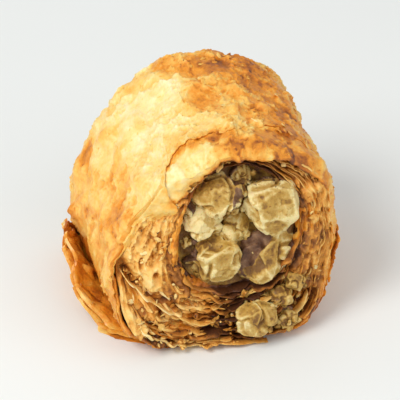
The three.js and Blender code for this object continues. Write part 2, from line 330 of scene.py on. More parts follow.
class Nodes:
    """A material's nodes, made and linked by short calls."""

    def __init__(self, name):
        self.material = bpy.data.materials.new(name)
        self.material.use_nodes = True
        self.tree = self.material.node_tree
        self.shader = self.tree.nodes["Principled BSDF"]
        self.where = self.add("ShaderNodeTexCoord").outputs["Object"]

    def add(self, kind, **settings):
        node = self.tree.nodes.new(kind)
        for key, value in settings.items():
            setattr(node, key, value)
        return node

    def fill(self, sockets, values):
        """Links or sets each socket to its value."""
        for socket, value in zip(sockets, values):
            if hasattr(value, "node"):
                self.tree.links.new(value, socket)
            else:
                socket.default_value = value

    def mark(self, name):
        return self.add("ShaderNodeAttribute", attribute_name=name).outputs["Fac"]

    def noise(self, size_mm, detail=3, distortion=0.0, shift=(0, 0, 0)):
        mapping = self.add("ShaderNodeMapping")
        self.fill((mapping.inputs["Vector"], mapping.inputs["Location"]), (self.where, shift))
        texture = self.add("ShaderNodeTexNoise")
        sockets = (texture.inputs[key] for key in ("Vector", "Scale", "Detail", "Distortion"))
        self.fill(sockets, (mapping.outputs[0], 1 / (size_mm * MM), detail, distortion))
        return texture.outputs["Fac"]

    def math(self, operation, *values, clamp=False):
        node = self.add("ShaderNodeMath", operation=operation, use_clamp=clamp)
        self.fill(node.inputs, values)
        return node.outputs[0]

    def total(self, first, *others):
        for value in others:
            first = self.math("ADD", first, value)
        return first

    def spread(self, value, low, high, to_low=0.0, to_high=1.0):
        node = self.add("ShaderNodeMapRange")
        self.fill(node.inputs, (value, low, high, to_low, to_high))
        return node.outputs[0]

    def uneven(self, value, *changes):
        """The value, changed up and down by noises, each of a (noise, most)."""
        return self.total(value, *(self.spread(noise, 0.3, 0.7, -most, most) for noise, most in changes))

    def ramp(self, value, stops):
        node = self.add("ShaderNodeValToRGB")
        elements = node.color_ramp.elements
        while len(elements) < len(stops):
            elements.new(0.5)
        for element, (at, colour) in zip(elements, stops):
            element.position = at
            element.color = linear(*colour)
        self.fill(node.inputs, (value,))
        return node.outputs[0]

    def blend(self, share, first, second):
        node = self.add("ShaderNodeMix", data_type="RGBA")
        self.fill((node.inputs[0], node.inputs[6], node.inputs[7]), (share, first, second))
        return node.outputs[2]

    def finish(self, colour, roughness, bump=None, bump_mm=0.0, coat=0.0, soft=0.0):
        settings = {
            "Base Color": colour,
            "Roughness": roughness,
            "IOR": 1.45,
            "Specular IOR Level": 0.38,
            "Coat Weight": coat,
            "Coat Roughness": 0.28,
            "Subsurface Weight": soft,
            "Subsurface Radius": (1.0, 0.5, 0.18),
            "Subsurface Scale": 0.6 * MM,
        }
        if bump is not None:
            node = self.add("ShaderNodeBump")
            sockets = (node.inputs[key] for key in ("Strength", "Distance", "Height"))
            self.fill(sockets, (1.0, bump_mm * MM, bump))
            settings["Normal"] = node.outputs[0]
        self.fill((self.shader.inputs[key] for key in settings), settings.values())
        return self.material


BAKED = (
    (0.0, (255, 238, 186)),
    (0.2, (254, 222, 144)),
    (0.4, (250, 196, 96)),
    (0.6, (236, 151, 40)),
    (0.8, (180, 101, 26)),
    (1.0, (90, 44, 16)),
)
BAKED_EDGES = (
    (0.0, (255, 240, 196)),
    (0.2, (252, 222, 152)),
    (0.4, (244, 195, 108)),
    (0.6, (222, 152, 60)),
    (0.8, (166, 102, 38)),
    (1.0, (84, 46, 22)),
)
KERNEL = (
    (0.0, (242, 222, 160)),
    (0.35, (213, 179, 102)),
    (0.65, (191, 147, 64)),
    (1.0, (132, 92, 42)),
)
NUT_SKIN = (
    (0.0, (74, 46, 34)),
    (0.5, (118, 82, 58)),
    (1.0, (172, 134, 98)),
)


def pastry_material(name, coat, roughness, glow, colours):
    """Baked pastry, coloured by the mark tone."""
    n = Nodes(name)
    mottle = n.noise(3.2, detail=4, distortion=0.6)
    grain = n.noise(0.45, detail=4, shift=(3, 1, 2))
    specks = n.noise(0.8, detail=2, shift=(7, 5, 1))
    tone = n.uneven(n.mark("tone"), (mottle, 0.13), (grain, 0.05))
    tone = n.math("ADD", tone, n.spread(specks, 0.64, 0.76, 0.0, 0.2), clamp=True)
    shine = n.noise(2.0, shift=(1, 9, 4))
    roughness = n.spread(shine, 0.3, 0.7, roughness - 0.1, roughness + 0.12)
    wrinkles = n.math("MULTIPLY", n.noise(0.9, detail=5, distortion=1.5, shift=(4, 4, 8)), 1.6)
    bump = n.total(grain, wrinkles, n.noise(0.16, detail=2))
    return n.finish(n.ramp(tone, colours), roughness, bump, bump_mm=0.06, coat=coat, soft=glow)


def walnut_material():
    """Broken walnut, whose kernel is coloured by the mark tone."""
    n = Nodes("walnut")
    cloud = n.noise(1.8, detail=5, distortion=0.8)
    grain = n.noise(0.35, detail=4)
    specks = n.noise(0.6, detail=3, shift=(6, 2, 9))
    tone = n.uneven(n.mark("tone"), (cloud, 0.24), (grain, 0.1))
    tone = n.math("ADD", tone, n.spread(specks, 0.6, 0.74, 0.0, 0.4), clamp=True)
    skin_tone = n.spread(n.noise(1.1, detail=5, shift=(2, 2, 2)), 0.25, 0.75)
    torn = n.noise(0.9, detail=4, shift=(5, 5, 0))
    skinned = n.spread(n.uneven(n.mark("skin"), (torn, 0.34)), 0.42, 0.58)
    colour = n.blend(skinned, n.ramp(tone, KERNEL), n.ramp(skin_tone, NUT_SKIN))
    roughness = n.spread(cloud, 0.3, 0.7, 0.42, 0.6)
    pitted = n.math("MULTIPLY", n.noise(0.8, detail=6, distortion=1.0, shift=(8, 1, 3)), 1.8)
    bump = n.total(grain, pitted, n.noise(0.14, detail=2))
    return n.finish(colour, roughness, bump, bump_mm=0.1, coat=0.15, soft=0.15)


# ---- The outermost sheet ----

SKIN_TURNS = 420
SKIN_ROWS = 104
SECOND_ROWS = 40
LIP_ROWS = 9  # where a sheet goes over the front face
RING_RADIUS = 17.0  # of the noise along a sheet's torn edge
FOLDS = 70
BLISTERS = 90
BORE_SHARES = (0.02, 0.05, 0.08, 0.11, 0.14, 0.17, 0.2, 0.24, 0.3, 0.7, 0.76, 0.8, 0.84, 0.88, 0.92, 0.96)

# How far the torn sheet folds over the front face's upper left: degrees round and share of the way in.
FOLDED_OVER = (
    (118, 0),
    (127, 0.04),
    (134, 0.3),
    (140, 0.58),
    (148, 0.66),
    (156, 0.45),
    (164, 0.24),
    (176, 0.1),
    (190, 0),
)

# Sides of the outside that differ: how much browner, degrees round and width.
SIDES = (
    (0.1, 42, 26),  # amber ridge
    (0.12, 62, 26),
    (-0.2, 118, 28),  # cream upper left, partly painted sheen
    (0.1, 185, 24),
    (0.42, 262, 42),  # brown underneath
    (0.2, 335, 42),
)

# Places on the outside that differ: degrees round, mm along, half the length and width, how much browner.
SPOTS = (
    (126, 1.0, 2.6, 2.4, -0.2),  # cream shoulder, partly painted sheen
    (105, 2.2, 2.8, 3.2, -0.26),  # cream crown, partly painted sheen
    (165, -11.0, 1.2, 1.4, -0.2),  # cream flank
    (43, -7.5, 5.5, 3.0, 0.12),  # amber ridge
    (77, -11.0, 2.4, 4.2, 0.27),  # orange lip
    (132, -10.5, 1.6, 2.0, -0.16),  # cream fold
    (74, -5.9, 1.6, 2.6, -0.22),  # pale middle, painted highlight
    (163, -7.0, 4.0, 3.4, 0.2),  # golden side
    (178, 1.5, 3.6, 3.0, -0.06),  # pale side
    (112, 1.4, 2.0, 2.8, 0.05),  # golden shoulder
    (92, -1.0, 1.6, 2.0, 0.05),  # golden crown
    (75, 2.6, 3.2, 3.6, 0.1),  # tan top
    (88, 8.4, 2.0, 7.0, 0.14),  # brown back
    (118, 6.0, 2.6, 2.6, -0.12),  # cream top, partly painted sheen
    (52, 9.0, 3.0, 3.0, 0.12),  # olive shoulder
    (38, 3.0, 5.0, 3.6, 0.1),  # brown shoulder
    (101, -8.8, 1.0, 2.4, 0.3),  # syrup at the tear
)

# Layers that have flaked off in patches: the patches' size, a seed, how rare they are and how deep.
WORN_LAYERS = (
    (4.6, 51, 0.18, 0.2),
    (2.6, 61, 0.2, 0.18),
    (1.5, 71, 0.24, 0.13),
)


def skin_tone(turn, y, points):
    """How brown the outside is."""
    tone = 0.34 + lobes(turn, *SIDES) + 0.08 * smoothstep(y, 5, 14) * (0.4 + lobe(turn, 80, 50))
    ragged = 1 + 0.5 * noise(points, 1.6, 37)
    for at, along, long, wide, browner in SPOTS:
        across = wrapped(turn - math.radians(at)) * 15
        tone = tone + browner * np.exp(-ragged * ((across / wide) ** 2 + ((y - along) / long) ** 2))
    patches = smoothstep(rough(points * (1, 0.8, 1), 4.2, 33), 0.05, 0.32)
    patches = patches * (0.45 + 0.55 * lobe(turn, 80, 60))
    specks = smoothstep(noise(points, 0.7, 38), 0.45, 0.8) * (0.3 + 0.7 * lobe(turn, 62, 40))
    tone = tone + 0.1 * rough(points, 9.0, 31) + 0.08 * patches + 0.2 * specks
    tone = tone + 0.06 * (rough(points, 2.4, 35) + rough(points * (1, 0.5, 1), 1.2, 36))
    return at_least(tone, 0.14, 0.05)


def leaning(across, along, lean):
    """Distances along and across a line that leans by that angle."""
    return (
        across * math.cos(lean) + along * math.sin(lean),
        along * math.cos(lean) - across * math.sin(lean),
    )


def skin_detail(turn, y):
    """Height and tone of the outermost sheet's surface: folds, blisters, wrinkles and flaked-off patches."""
    reach = outer_reach(turn)
    points = xyz(reach * np.cos(turn), y, reach * np.sin(turn))
    tone = skin_tone(turn, y, points)
    height = np.zeros_like(tone)
    rng = np.random.default_rng(13)
    for _ in range(FOLDS):
        across, along = wrapped(turn - rng.uniform(0, TAU)) * reach, y - rng.uniform(-HALF, HALF)
        first, second = leaning(across, along, rng.normal(math.pi / 2, 0.7))
        long, wide, raised = rng.uniform(2.5, 8), rng.uniform(0.7, 2.2), rng.uniform(-0.3, 0.34)
        off = np.abs(second + 0.08 * first**2 / long) / wide
        tent = np.clip(1 - off, 0, 1) * np.exp(-((first / long) ** 2))
        height = height + raised * tent
        tone = tone - 0.1 * raised * tent
    rng = np.random.default_rng(7)
    for _ in range(BLISTERS):
        across, along = wrapped(turn - rng.uniform(0, TAU)) * reach, y - rng.uniform(-HALF + 2, HALF - 1)
        long, wide = rng.uniform(0.9, 3.4), rng.uniform(0.6, 2.0)
        first, second = leaning(across, along, rng.uniform(0, math.pi))
        inside = np.clip(1 - (first / long) ** 2 - (second / wide) ** 2, 0, 1)
        height = height + rng.uniform(0.12, 0.5) * inside**0.8
        tone = tone + rng.uniform(-0.08, 0.16) * inside
    wrinkles = 1 - np.abs(noise(points * (1, 0.6, 1), 1.3, 41))
    height = height + 0.16 * wrinkles**3 + 0.12 * rough(points, 2.6, 45)
    wear = 0.3 * lobe(turn, 62, 36) + 0.06 * smoothstep(-y, 2, 9) - 0.16 * lobe(turn, 160, 45)
    for level, (size, seed, least, step) in enumerate(WORN_LAYERS):
        wear_and_edge_shade = rough(points, size, seed, 5) + wear
        gone = smoothstep(wear_and_edge_shade, least, least + 0.05)
        curled = np.exp(-(((wear_and_edge_shade - least + 0.05) / 0.05) ** 2))
        height = height - step * (gone - 0.7 * curled)
        tone = tone + (0.12 - 0.04 * level - 0.06 * level * lobe(turn, 62, 40)) * gone - 0.07 * curled
    return at_least(height + 0.035 * rough(points, 0.7, 81), -0.35, 0.08), tone


def even_turns():
    turn = np.arange(SKIN_TURNS) / SKIN_TURNS * TAU
    return turn, xyz(RING_RADIUS * np.cos(turn), 0, RING_RADIUS * np.sin(turn))


def ragged_tear(ring, seed):
    return noises(ring, seed, (0.9, 3.4), (0.45, 1.3), (0.25, 0.6))


def outside_rows(turn, along, reaches, tones):
    return [(y, section(turn, 1.0, reach), tone) for y, reach, tone in zip(along, reaches, tones)]


def crumpled_face(turn, hand, count):
    """Rows from the skin to the filling, behind the sheets' edges: pastry that has baked together."""
    rows = []
    behind = 0.75 + 0.8 * underneath(turn) + 1.5 * lobe(turn, 80, 45) - 0.5 * packed(turn)
    for out in np.linspace(0.93, 0.03, count):
        x, z = section(turn, out, outer_reach(turn) - 1.6)
        spot = xyz(x, 30.0 * hand, z)
        lumps = noises(spot, 121, (0.5, 2.2), (0.3, 1.0), (0.18, 0.5))
        depth = behind + lumps + (hollow_depth(turn, out) if hand > 0 else 0)
        tone = layer_tone(turn, out, hand) + 0.08 + 0.25 * lumps + 0.14 * noise(spot, 0.7, 124)
        rows.append((face_y(turn, out, hand) + hand * np.maximum(0.2, depth), (x, z), tone))
    return rows


def bore_wall(turn, start, end):
    """Rows of the crumbly wall round the filling, fine near both cut faces."""
    rows = []
    for share in BORE_SHARES:
        y = start + (end - start) * share
        x, z = section(turn, 0.0, outer_reach(turn))
        spot = xyz(x, y, z)
        lumps = noises(spot, 125, (0.35, 1.5), (0.25, 0.7))
        tone = 0.64 + 0.3 * lumps + 0.15 * noise(spot, 2.2, 127)
        rows.append((y, section(turn, -0.03 - 0.08 * np.maximum(0, lumps), outer_reach(turn)), tone))
    return rows


def folded_part(turn, ring, torn, reach, tone):
    """Rows of the torn sheet that go over the front face's upper left, to its edge and back under."""
    share_over = np.interp(np.degrees(turn), *np.transpose(FOLDED_OVER))
    share_over = share_over * (1 + noises(ring, 131, (0.16, 2.2), (0.1, 0.9)))
    over = smoothstep(share_over, 0, 0.12)
    stuck = between(turn, 142, 156, 359, 360)
    front, behind = [], []
    for share in np.linspace(0.12, 1, LIP_ROWS):
        out = 1 - np.maximum(0.01, share_over * share)
        x, z = section(turn, out, reach)
        spot = xyz(x, 0, z)
        lumps = noises(spot, 133, (0.2, 2.0), (0.14, 0.9), (0.06, 0.4))
        stand = 0.5 + 0.14 * share**3 - 1.1 * stuck * share**0.5 - lumps * (1 - 0.5 * share)
        y = np.minimum(torn + 0.6 * stuck, face_y(turn, out, 1, 0.3) - stand)
        paler = 0.38 + 0.1 * noise(spot, 1.8, 136) + 0.5 * lumps + 0.08 * share**4
        front.append((torn + (y - torn) * over, (x, z), tone + (paler - tone) * over))
        behind.append((torn + (y + 0.3 - torn) * over, (x, z), tone + 0.2))
    return front + behind[::-1]


def roll_body():
    """The outermost sheet and what lies deep under it, as one closed ring."""
    turn, ring = even_turns()
    bare = torn_edge(turn) - front_edge(turn)
    folded = between(turn, 120, 129, 186, 200)
    torn = torn_edge(turn) + ragged_tear(ring, 91) * np.clip(bare / 4, 0.2, 1) - 1.2 * folded
    torn = torn + frayed(turn) * (1.5 + 1.2 * noise(ring, 2.4, 99)) + 1.8 * lobe(turn, 272, 36)
    back = back_edge(turn) + noises(ring, 94, (0.45, 3.0), (0.25, 1.0)) - 0.3
    along = np.linspace(0, 1, SKIN_ROWS)[:, None]
    y = back + (torn - back) * along
    detail, tone = skin_detail(turn, y)
    open_tear = np.clip(0.8 * lobe(turn, 118, 26) + 0.3 * noise(ring, 5.0, 98), 0, 1)
    lift = (0.6 * open_tear - 0.26) * (1 - folded)
    lifted = lift * np.exp(-(y - torn) / 0.9) - 0.8 * folded * smoothstep(-(y - torn), -1.8, 0) ** 2
    reach = skin_reach(turn, y) - EDGE_ROUNDING * (1 - along) ** 12 + detail + lifted
    rows = outside_rows(turn, y, reach, tone) + folded_part(turn, ring, torn, reach[-1], tone[-1])
    edge = (0.05, lift + detail[-1] - 0.2, 0.1)
    for inward, stand, browner in (edge, (1.0, -0.6, 0.3), (2.4, -1.2, 0.3), (3.2, -1.9, 0.3)):
        rows.append((torn + inward, section(turn, 1.0, skin_reach(turn, torn) + stand), tone[-1] + browner))
    front, behind = crumpled_face(turn, 1, count=40), crumpled_face(turn, -1, count=24)[::-1]
    rows += front + bore_wall(turn, front[-1][0], behind[0][0]) + behind
    for inward, sunk in ((2.6, 1.6), (1.2, 1.0), (0.1, EDGE_ROUNDING + 0.3)):
        rows.append((back - inward, section(turn, 1.0, skin_reach(turn, back) - sunk), tone[0] + 0.2))
    return closed_band(turn, rows)


def second_sheet():
    """The sheet that the torn one leaves bare towards the front, over the lip of the cut face."""
    turn, ring = even_turns()
    front = front_edge(turn) + 0.05 + 0.25 * ragged_tear(ring, 111) + 1.3 * between(turn, 142, 156, 225, 250)
    front = front + frayed(turn) * (1.2 + 1.1 * noise(ring, 1.9, 114)) + 2.0 * lobe(turn, 272, 36)
    back = torn_edge(turn) + 3.0
    y = back + (front - back) * np.linspace(0, 1, SECOND_ROWS)[:, None]
    detail, tone = skin_detail(turn, y)
    rounding = smoothstep(-(y - front_edge(turn)), -2.4, 0.3) ** 1.5
    under_sheet_and_tear_shadow = np.exp(-((np.abs(y - torn_edge(turn) + 0.4) / 0.9) ** 2))
    points = xyz(15 * np.cos(turn), y, 15 * np.sin(turn))
    reach = skin_reach(turn, y) - 0.34 - 1.1 * rounding + 0.8 * detail + 0.12 * noise(points, 1.6, 115)
    # Darker strip in front of the tear: partly the sheet beneath, partly painted shadow of the torn edge.
    tone = tone + 0.2 * under_sheet_and_tear_shadow * lobe(turn, 118, 40) - 0.03
    rows = outside_rows(turn, y, reach, tone)
    uneven = 1 + noises(ring, 117, (0.3, 2.4), (0.14, 0.8))
    lip = np.maximum(0.02, (0.05 + lobes(turn, (0.2, 80, 46), (0.6, 127, 20))) * uneven)
    over = smoothstep(lip, 0.08, 0.2)
    for share in np.linspace(0.1, 1, LIP_ROWS):
        out = 1 - share * lip
        x, z = section(turn, out, reach[-1])
        spot = xyz(x, 0, z)
        lumps = noises(spot, 141, (0.3, 1.7), (0.2, 0.8))
        edge = front - (0.2 * math.sin(math.pi * share) + 0.1 * share + 0.1 * noise(ring, 1.2, 119))
        face = face_y(turn, out, 1, 0.3) - 0.2 + lumps * np.minimum(1, 3 * lip) + 0.5 * lip * share**4
        browner = 0.14 * share + (0.5 * share**2 + 0.6 * lumps + 0.2 * noise(spot, 0.9, 143)) * lip
        rows.append((edge + (np.minimum(edge, face) - edge) * over, (x, z), tone[-1] + browner))
    rows.append((rows[-1][0] + 0.35, section(turn, 1 - lip, reach[-1] - 0.1), tone[-1] + 0.35))
    under = np.minimum(reach - 0.2, skin_reach(turn, y) - 0.5)
    return closed_band(turn, rows + outside_rows(turn, y[::-3] + 0.05, under[::-3], tone[::-3] + 0.1))


# ---- The wound sheets at the cut faces ----

PLIES = 5  # sheets wound side by side
CLUMPS = (0, -0.4, -0.8, 0.8, 0.4)  # how far each is drawn to a ridge underneath, in shares of their spacing
PULLS = (0.3, -0.35, 0.45, 0.0, -0.4)  # how far each sticks to its neighbour, in the same shares
SHEET_STEPS = {1: 0.34, -1: 0.5}  # between points along a sheet, by hand
DEPTHS = np.array([0, 0.15, 0.5, 1.2, 2.4, 4.0])  # of its points behind its edge

# Where the sheets have baked together: degrees round, furthest share out, steps round and out, how bare,
# how lumpy and how much browner.
CRUSTS = (
    ((126, 146, 212, 240), 1.03, (190, 84), 0.1, 1.0, 0.08),
    ((306, 328, 382, 402), 0.94, (108, 50), 0.25, 1.5, -0.05),
)


def hollow_depth(turn, out):
    """A hollow at the lower left, where the sheets have come apart; the tone it adds is painted shade."""
    across = wrapped(turn - math.radians(205)) * 12.5
    off = (out - 0.71 + 0.07 * across) * 8
    return 4.0 * np.exp(-((across / 3.4) ** 2) - (off / 0.95) ** 2)


def spiral(hand, spread):
    """Angles and lengths along one sheet's spiral from the filling out, at even steps of length."""
    angle = np.linspace(-TAU * spread, TAU * (WINDINGS - spread), 4000)
    x, z = section(hand * angle, (angle / TAU + spread) / WINDINGS, outer_reach(hand * angle))
    length = np.concatenate([[0], np.cumsum(np.hypot(np.diff(x), np.diff(z)))])
    even = np.arange(0, length[-1], SHEET_STEPS[hand])
    return np.interp(even, length, angle), even


def layer_tone(turn, out, hand):
    """How brown the wound sheets are: pale at the left and brown underneath, with painted shade inside the
    upper lip and next to the filling.
    """
    baked = 0.72 if hand > 0 else 0.36
    tone = 0.33 + lobes(turn, (baked, 280, 42), (-0.07, 222, 26), (0.17, 0, 44))
    # Painted shade: the inner sheets under the overhanging upper lip are darkened.
    tone = tone + 0.54 * lobe(turn, 80, 50) * smoothstep(-out, -0.97, -0.82)
    tone = tone - 0.16 * smoothstep(out, 0.86, 0.97) * lobe(turn, 350, 60)
    # Painted shade: darker close to the filling.
    return tone + 0.24 * smoothstep(-out, -0.26, -0.03)


def sheet_edge(turn, out, hand, line, seed):
    """How far along the roll a wound sheet's frayed edge lies."""
    under = underneath(turn)
    fray = noises(line, seed, (0.35, 6.0), (0.4, 1.9), (0.3, 0.8))[:, None]
    notch = 1.5 * smoothstep(noise(line, 2.4, seed + 3), 0.3, 0.55)[:, None]
    jut = 0.9 * noise(line, 12.0, seed + 4)[:, None]
    inward = (0.9 + 0.5 * under - 0.4 * packed(turn)) * (fray + 0.2) + jut * under
    inward = inward + notch * (1 - 0.6 * packed(turn))
    inward = inward + 2.0 * frayed(turn) * smoothstep(out, 0.6, 1.0) * (0.6 + fray)
    inward = inward + lobe(turn, 85, 42) * (1.2 * smoothstep(-out, -0.97, -0.8) + 0.4)
    if hand > 0:
        crusted = 0.6 * between(turn, 118, 130, 205, 225) + 0.5 * lobe(turn, 354, 26)
        inward = inward + hollow_depth(turn, out) + crusted
    return face_y(turn, out, hand) + hand * inward


def wound_sheets(hand):
    """The sheets' edges at one cut face, each going some way into the roll."""
    parts = []
    seed = 200 if hand > 0 else 300
    torn = TORN_SHEET if hand > 0 else 0.45
    for ply in range(PLIES):
        angle, length = spiral(hand, ply / PLIES)
        turn = (hand * angle)[:, None]
        out = ((angle / TAU + ply / PLIES) / WINDINGS)[:, None]
        edge = sheet_edge(turn, out, hand, xyz(length, 0, 40.0 * ply), seed)
        depth = np.broadcast_to(DEPTHS, (len(angle), len(DEPTHS)))
        y = edge + hand * depth
        above = smoothstep(np.sin(turn), -0.8, -0.4)
        rounding = EDGE_ROUNDING * np.exp(-depth / 1.6) * out**2
        rounding = rounding + (0.15 + 0.5 * smoothstep(depth, 0.1, 1.5)) * smoothstep(out, 0.88, 1.0) * above
        relief = np.minimum(skin_relief(turn, edge), skin_relief(turn, y))
        reach = outer_reach(turn) + relief - torn - rounding
        x, z = section(turn, out, reach)
        bore_x, bore_z = section(turn, 0.0, reach)
        skin_x, skin_z = section(turn, 1.0, reach)
        wall = np.hypot(skin_x - bore_x, skin_z - bore_z)
        spacing = wall / WINDINGS / PLIES
        crumple = xyz(length[:, None], depth * 0.7, 40.0 * ply)
        shared = xyz(x, y * 0.5, z)
        under = underneath(turn)
        inside = np.sin(math.pi * np.clip(out, 0.02, 0.98)) ** 0.5
        offset = (0.45 + 0.6 * under) * noise(shared, 3.6, seed + 5) + 0.28 * noise(shared, 1.5, seed + 6)
        apart = np.clip(0.5 + noise(xyz(length[:, None], 0, 0), 7.0, seed + 7), 0, 1.2)
        drawn = PULLS[ply] * apart * (1 - 0.6 * packed(turn))
        drawn = drawn + 0.7 * CLUMPS[ply] * under * inside * (0.5 + 0.5 * apart)
        drawn = drawn + np.exp(-depth / 1.3) * noises(crumple, seed + 8, (0.7, 1.1), (0.5, 3.0))
        offset = offset * inside * np.minimum(1, wall / 6) + spacing * drawn
        thick = (0.72 + 0.3 * packed(turn)) * spacing * (1 + 0.4 * noise(crumple, 2.0, seed + 10)) / 2
        sides = []
        for side in (1, -1):
            away = (offset + side * thick * (1 - 0.4 * (depth < 0.05))) / wall
            sides.append(xyz(x + (skin_x - bore_x) * away, y, soft_floor(z + (skin_z - bore_z) * away)))
        # Painted shade: the sheets darken the further they lie behind their edges, as in the shade of the
        # gaps between them.
        painted_gap_shade = (0.34 - 0.26 * packed(turn)) * smoothstep(depth, 0.3, 3.4) * smoothstep(-out, -0.97, -0.93)
        tone = layer_tone(turn, out, hand) + noises(crumple, seed + 11, (0.14, 5.0), (0.12, 1.2))
        tone = tone - 0.07 * (depth < 0.2) + painted_gap_shade
        if hand > 0:
            # Painted shade in the hollow at the lower left.
            tone = tone + 0.16 * hollow_depth(turn, out)
            tone = tone - 0.3 * smoothstep(out, 0.88, 1) * lobe(turn, 258, 28)
        parts.append(thin_solid(*sides, at_least(tone, 0.16, 0.04)))
    return parts


def baked_crust(turns, furthest, steps, bare, lumpy, browner):
    """A side of the front face, where the sheets' edges have baked together into one crumbly crust."""
    degrees = np.linspace(turns[0], turns[3], steps[0])[:, None]
    turn = np.radians(degrees)
    out = np.linspace(-0.04, furthest, steps[1])[None, :]
    x, z = section(turn, out, skin_reach(turn, front_edge(turn)) - TORN_SHEET - 0.6 * out**2)
    flat = xyz(x, 0, z)
    layered = xyz(turn * 6.0, out * 7.0 + 0.25 * noise(flat, 2.4, 151), 0)
    ridges = 1 - 3 * np.abs(noise(layered * (1, 2.2, 1), 1.5, 152))
    threads = 1 - 3 * np.abs(noise(layered * (1.4, 4.0, 1), 1.4, 162))
    creases = 1 - 3 * np.abs(noise(flat * (1.3, 1, 0.8), 0.95, 160))
    crumbly = noises(flat, 153, (0.3 * lumpy, 1.5), (0.27, 0.7), (0.27, 0.4), (0.25, 3.6))
    pits = smoothstep(noise(flat, 0.9, 161), 0.35, 0.6)
    height = 0.34 / lumpy * ridges + 0.2 * threads + 0.12 * creases + crumbly - 0.6 * pits
    ragged = window(degrees, *turns) + noises(flat, 157, (0.3, 1.8), (0.2, 0.8))
    ragged = smoothstep(ragged, bare, bare + 0.7)
    sunk = 1.8 * (1 - ragged) + 1.4 * smoothstep(-out, -0.16, 0.04) + hollow_depth(turn, out)
    y = face_y(turn, out, 1, 0.45) + 0.05 - 0.6 * height + sunk - 0.3 * smoothstep(out, 0.8, 1.0)
    # Painted shade: the sunk term darkens the crust where it sinks, most in the hollow, and the term near the
    # filling on the next line darkens it there.
    tone = layer_tone(turn, out, 1) + browner - 0.2 * height + 0.12 * noise(flat, 2.8, 159) + 0.15 * sunk
    tone = tone + 0.1 * smoothstep(-out, -0.4, -0.1) + 0.1 * between(turn, 190, 220, 359, 360)
    behind = np.maximum(np.minimum(y + 1.4, face_y(turn, out, 1) + 3.0 + sunk), y + 0.2)
    return thin_solid(xyz(x, behind, soft_floor(z)), xyz(x, y, soft_floor(z)), tone)


STRAND_POINTS = 60
STRAND_SMOOTHING = 6
SHORT_STRANDS = 11


def strand(stops, stand, tone, seed):
    """A sheet's edge that has come loose, through (degrees, share out) places of the front face."""
    share = np.linspace(0, 1, STRAND_POINTS)
    degrees, out = (np.interp(share, np.linspace(0, 1, len(stops)), values) for values in zip(*stops))
    turn = np.radians(degrees)
    for line in [turn, out] * STRAND_SMOOTHING:
        line[1:-1] = (line[:-2] + line[1:-1] + line[2:]) / 3
    x, z = section(turn, out, outer_reach(turn) - TORN_SHEET - EDGE_ROUNDING)
    line = xyz(x, 0, z)
    ends = np.sin(math.pi * share) ** 0.4
    y = face_y(turn, out, 1) - stand * ends + noises(line, seed, (0.25, 1.6), (0.15, 0.6))
    along_x, along_z = np.gradient(x), np.gradient(z)
    step = np.hypot(along_x, along_z)
    depth = np.array([0, 0.3, 0.8, 1.1])
    wavy = 0.12 * noise(xyz(x[:, None], depth, z[:, None]), 1.3, seed + 2)
    sides = []
    for side in (1, -1):
        away = wavy + side * 0.1 * (1 - 0.5 * (depth < 0.1))
        side_x = x[:, None] + away * (along_z / step)[:, None]
        side_z = z[:, None] - away * (along_x / step)[:, None]
        sides.append(xyz(side_x, y[:, None] + depth, soft_floor(side_z)))
    return thin_solid(*sides, tone + 0.3 * depth / 1.1 + 0.08 * noise(line, 1.5, seed + 3)[:, None])


def strands():
    """One strand over the hollow, and shorter ones on the sheets' edges."""
    rng = np.random.default_rng(5)
    parts = [strand([(192, 1.04), (202, 0.8), (209, 0.65), (218, 0.55), (228, 0.5)], 0.5, 0.26, 600)]
    for i in range(SHORT_STRANDS):
        start, out = rng.uniform(206, 318), rng.uniform(0.3, 0.95)
        drift, span = rng.uniform(-0.2, 0.2), rng.uniform(14, 40)
        stops = [(start + span * share, out + drift * share) for share in (0, 0.35, 0.7, 1)]
        parts.append(strand(stops, rng.uniform(0.0, 0.6), rng.uniform(0.3, 0.7), 610 + 10 * i))
    return parts


# ---- The loose end of the outermost sheets ----

TAIL_FRONT = -HALF + 1.5
TAIL_BACK = 0.86 * HALF
TAIL_ROOT = math.radians(254)
TAIL_LOW_EDGE = math.radians(226)
TAIL_HIGH_EDGE = math.radians(185)
TAIL_EMBEDDED = 1.6
TAIL_PEEL = 3.9
TAIL_THICKNESS = 3.0
TAIL_STEPS = (80, 34)  # along the roll and out to the free edge
LOOSE_SHEETS = (0.55, 0.7, 0.8, 0.9, 1.0)  # how far out each lies, the first one a thick mass


def loose_sheet(share, ply):
    """Where a loose sheet lies and how far it stands out: share is 0 by the roll and 1 outermost."""
    along = np.linspace(0, 1, TAIL_STEPS[0])[:, None]
    curl = np.linspace(0, 1, TAIL_STEPS[1])[None, :]
    ragged = noises(xyz(60 * along, 0, 9 * ply), 400, (0.05, 9.0), (0.05, 2.5), (0.03, 1.0))
    fullness = np.sin(math.pi * (0.12 + 0.78 * along)) ** 0.6
    high = TAIL_LOW_EDGE + (TAIL_HIGH_EDGE - TAIL_LOW_EDGE) * along
    free_edge = TAIL_ROOT + (high - TAIL_ROOT) * fullness * (1 + ragged - 0.12 * (1 - share))
    turn = TAIL_ROOT + (free_edge - TAIL_ROOT) * curl
    y = TAIL_FRONT + (TAIL_BACK - TAIL_FRONT) * along
    crumple = xyz(y, 16 * curl, 5.0 * ply)
    peel = TAIL_PEEL * np.sin(math.pi * (0.36 + 0.62 * along)) ** 1.4
    outermost = (TAIL_EMBEDDED + peel) * curl**1.2 - TAIL_EMBEDDED + 0.35 * np.sin(1.1 * y + 5 * curl) * curl
    outermost = outermost + TAIL_THICKNESS / 2 * (1 - 0.4 * curl**2) - 0.2
    innermost = -0.6 + 0.9 * curl
    lumps = noises(crumple, 403, (0.9, 3.2), (0.5, 1.4))
    stand = innermost + (outermost - innermost) * share**0.8 + curl * lumps * (0.4 + 0.6 * share)
    return turn, y + 0.5 * noise(crumple, 4.0, 405) * curl, stand, crumple, curl


